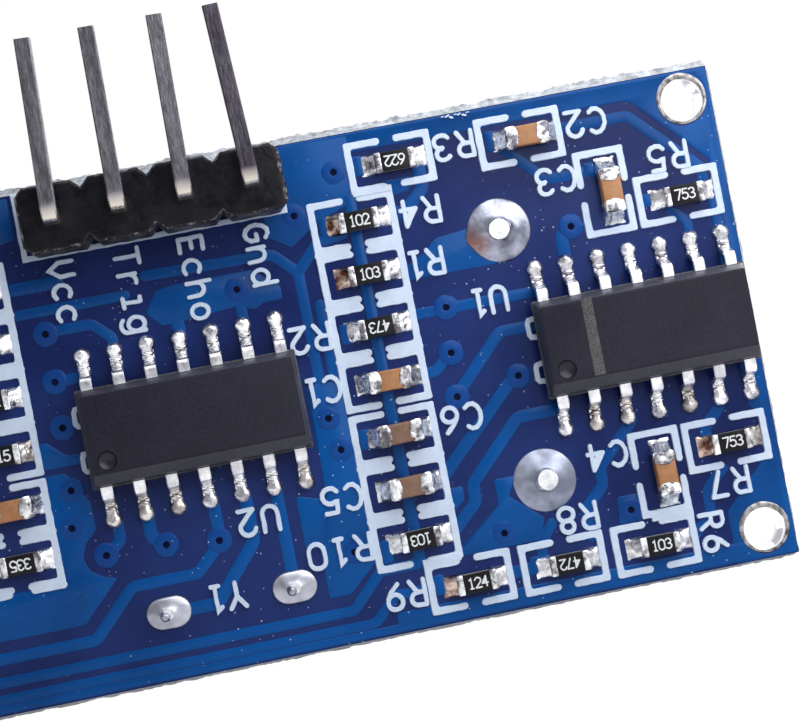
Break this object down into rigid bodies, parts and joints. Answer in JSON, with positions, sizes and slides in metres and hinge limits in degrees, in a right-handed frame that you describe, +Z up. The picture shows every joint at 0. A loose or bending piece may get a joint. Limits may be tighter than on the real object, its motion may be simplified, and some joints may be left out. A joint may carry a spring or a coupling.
{
  "type": "ultrasonic distance sensor",
  "caption": "Ultrasonic ranging board with two round transducer cans on its front, chips and small parts on its back, a right-angle pin header and corner mounting holes.",
  "frame": {"origin": "centre of the four mounting holes, on the board's front face", "axes": "+Z up towards the header pins, -Y the way the transducers look, +Y out of the face that carries the chips; seen from behind, +X is to the left"},
  "size_m": [0.0454, 0.0173, 0.0253],
  "materials": {
    "board": "solder mask gloss",
    "plating": "tinned copper, satin",
    "header_plastic": "moulded, satin",
    "header_pin": "tin plated, satin",
    "solder": "solder, bright",
    "chip_plastic": "moulded epoxy, fine texture",
    "tinned_lead": "tin plated, satin",
    "crystal_metal": "nickel plated, satin",
    "quartz": "polished with electrodes",
    "can_metal": "drawn, satin",
    "screen_metal": "woven, satin",
    "cone_metal": "spun, satin",
    "piezo": "fired, matte",
    "silicone": "soft, matte",
    "base_plastic": "moulded, satin",
    "wire": "enamelled copper",
    "resistor": "glazed, tinned ends",
    "capacitor": "fired, tinned ends"
  },
  "bodies": {
    "root": {"circuit_board": "board", "hole_platings": "plating", "header_housing": "header_plastic", "header_pin_supply": "header_pin", "header_pin_trigger": "header_pin", "header_pin_echo": "header_pin", "header_pin_ground": "header_pin", "header_solder": "solder", "amplifier_body": "chip_plastic", "amplifier_leads": "tinned_lead", "controller_body": "chip_plastic", "controller_leads": "tinned_lead", "driver_body": "chip_plastic", "driver_leads": "tinned_lead", "transistor_body": "chip_plastic", "transistor_leads": "tinned_lead", "crystal_can": "crystal_metal", "crystal_base": "crystal_metal", "crystal_leads": "tinned_lead", "quartz_blank": "quartz", "crystal_solder": "solder", "transmitter_can": "can_metal", "transmitter_screen": "screen_metal", "transmitter_cone": "cone_metal", "transmitter_plate": "cone_metal", "transmitter_piezo": "piezo", "transmitter_damper": "silicone", "transmitter_base": "base_plastic", "transmitter_terminals": "tinned_lead", "transmitter_wires": "wire", "receiver_can": "can_metal", "receiver_screen": "screen_metal", "receiver_cone": "cone_metal", "receiver_plate": "cone_metal", "receiver_piezo": "piezo", "receiver_damper": "silicone", "receiver_base": "base_plastic", "receiver_terminals": "tinned_lead", "receiver_wires": "wire", "transducer_solder": "solder", "resistor_r1": "resistor", "resistor_r2": "resistor", "resistor_r3": "resistor", "resistor_r4": "resistor", "resistor_r5": "resistor", "resistor_r6": "resistor", "resistor_r7": "resistor", "resistor_r8": "resistor", "resistor_r9": "resistor", "resistor_r10": "resistor", "capacitor_c1": "capacitor", "capacitor_c2": "capacitor", "capacitor_c3": "capacitor", "capacitor_c4": "capacitor", "capacitor_c5": "capacitor", "capacitor_c6": "capacitor", "driver_side_resistors": "resistor", "driver_side_capacitors": "capacitor"}
  },
  "joints": []
}
